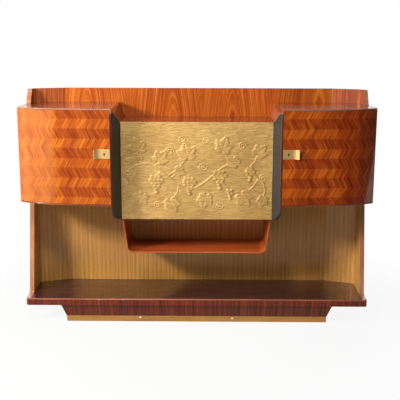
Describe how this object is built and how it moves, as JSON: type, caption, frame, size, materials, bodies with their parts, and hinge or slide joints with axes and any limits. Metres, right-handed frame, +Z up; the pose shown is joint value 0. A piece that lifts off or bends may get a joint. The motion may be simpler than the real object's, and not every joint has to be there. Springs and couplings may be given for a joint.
{
  "type": "bar cabinet",
  "caption": "Bar cabinet with bowed veneered doors, a gilded fall front on quadrant stays, an open lower bay with a hanging tray, and a splayed plinth",
  "frame": {"origin": "centre of the underside of the plinth, on the floor", "axes": "+X to the right of a person who faces the front, +Y from the front to the back, +Z up; the doors and the fall front are shut"},
  "size_m": [1.85, 0.4336, 1.235],
  "materials": {
    "door_veneer": "zigzag-matched figured veneer under a high gloss polish",
    "carcass_veneer": "reddish-brown veneer under a high gloss polish",
    "flame_veneer": "straight-grained reddish veneer under a high gloss polish",
    "striped_veneer": "ribbon-striped veneer under a gloss polish",
    "dark_veneer": "dark red veneer under a gloss polish",
    "ebonised": "black satin polish",
    "bent_wood": "laminated orange-brown wood under a gloss polish",
    "inner_wood": "satin polished wood",
    "gilt": "gilded wood",
    "polished_brass": "polished",
    "steel": "brushed",
    "silvered": "silvered glass",
    "clear_glass": "clear, polished edges"
  },
  "bodies": {
    "carcass": {"base_board": "gilt", "sub_plinth": "dark_veneer", "plinth_blocks": "inner_wood", "bottom_slab": "dark_veneer", "back_panel": "striped_veneer", "bar_deck": "carcass_veneer", "ball_catches": "steel", "bar_floor": "inner_wood", "bar_mirror": "silvered", "glass_shelf": "clear_glass", "glass_shelf_studs": "polished_brass", "tray": "bent_wood", "flap_hinge_case_leaves": "polished_brass", "flap_hinge_pins": "polished_brass", "stay_guides": "polished_brass", "left_canted_panel": "flame_veneer", "left_side_wall": "flame_veneer", "left_cabinet_top": "carcass_veneer", "left_cabinet_bottom": "carcass_veneer", "left_outer_side": "carcass_veneer", "left_shelf": "inner_wood", "left_shelf_studs": "polished_brass", "left_cheek": "ebonised", "left_edge_strip": "carcass_veneer", "left_shoulder": "carcass_veneer", "left_hinge_case_leaves": "polished_brass", "left_hinge_pins": "polished_brass", "right_canted_panel": "flame_veneer", "right_side_wall": "flame_veneer", "right_cabinet_top": "carcass_veneer", "right_cabinet_bottom": "carcass_veneer", "right_outer_side": "carcass_veneer", "right_shelf": "inner_wood", "right_shelf_studs": "polished_brass", "right_cheek": "ebonised", "right_edge_strip": "carcass_veneer", "right_shoulder": "carcass_veneer", "right_hinge_case_leaves": "polished_brass", "right_hinge_pins": "polished_brass"},
    "left_door": {"left_door_panel": "door_veneer", "left_pull": "polished_brass", "left_lock_case": "polished_brass", "left_hinge_door_leaves": "polished_brass"},
    "left_bolt": {"left_lock_bolt": "steel"},
    "right_door": {"right_door_panel": "door_veneer", "right_pull": "polished_brass", "right_lock_case": "polished_brass", "right_hinge_door_leaves": "polished_brass"},
    "right_bolt": {"right_lock_bolt": "steel"},
    "flap": {"flap_board": "inner_wood", "relief_panel": "gilt", "flap_hinge_leaves": "polished_brass", "quadrant_stays": "polished_brass"}
  },
  "joints": [
    {"name": "left_door_hinge", "type": "hinge", "parent": "carcass", "child": "left_door", "pos_m": [-0.9225, -0.1255, 0.9105], "axis": [0, 0, -1], "range_deg": [0, 105]},
    {"name": "right_door_hinge", "type": "hinge", "parent": "carcass", "child": "right_door", "pos_m": [0.9225, -0.1255, 0.9105], "axis": [0, 0, 1], "range_deg": [0, 105]},
    {"name": "left_bolt_slide", "type": "slide", "parent": "left_door", "child": "left_bolt", "axis": [0.996, -0.0896, 0], "range_m": [0, 0.008]},
    {"name": "right_bolt_slide", "type": "slide", "parent": "right_door", "child": "right_bolt", "axis": [-0.996, -0.0896, 0], "range_m": [0, 0.008]},
    {"name": "flap_hinge", "type": "hinge", "parent": "carcass", "child": "flap", "pos_m": [0, -0.1155, 0.57], "axis": [1, 0, 0], "range_deg": [0, 90]}
  ]
}
